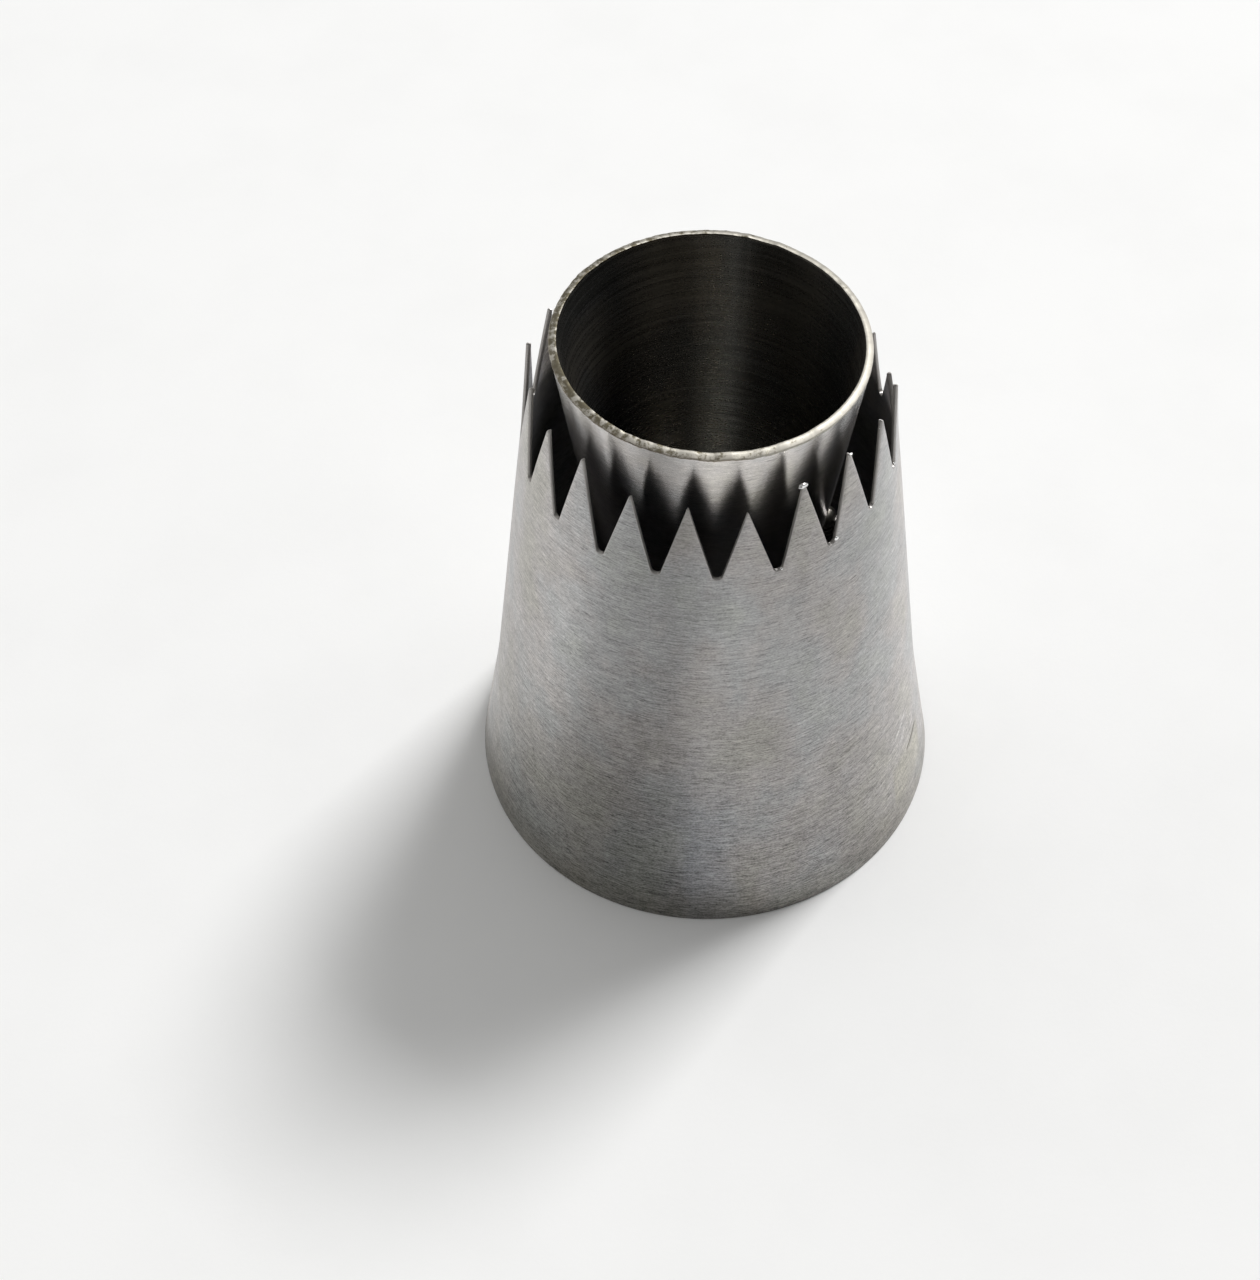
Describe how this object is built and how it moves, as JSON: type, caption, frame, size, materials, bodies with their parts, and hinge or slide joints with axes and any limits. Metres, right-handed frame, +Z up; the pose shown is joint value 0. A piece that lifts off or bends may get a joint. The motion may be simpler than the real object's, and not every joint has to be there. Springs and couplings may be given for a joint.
{
  "type": "ring piping nozzle",
  "caption": "Steel piping nozzle for hollow ring biscuits: a toothed outer cone with a plain closed-nose cone welded inside on three bridges.",
  "frame": {"origin": "centre of the wide mouth, on the surface that the nozzle stands on", "axes": "+Z up the nozzle from the mouth to the teeth, -Y towards the viewer of the picture, +X to the viewer's right"},
  "size_m": [0.043, 0.043, 0.0535],
  "materials": {
    "shell_steel": "spun brushed, slightly warm and cloudy",
    "cone_steel": "spun, half polished, with a raw cut rim",
    "bridge_steel": "as rolled",
    "weld_metal": "bare weld bead, lightly heat tinted"
  },
  "bodies": {
    "root": {"outer_shell": "shell_steel", "inner_cone": "cone_steel", "bridge_front_right": "bridge_steel", "bridge_rear": "bridge_steel", "bridge_front_left": "bridge_steel", "weld_front_right_inner": "weld_metal", "weld_front_right_outer": "weld_metal", "weld_rear_inner": "weld_metal", "weld_rear_outer": "weld_metal", "weld_front_left_inner": "weld_metal", "weld_front_left_outer": "weld_metal"}
  },
  "joints": []
}
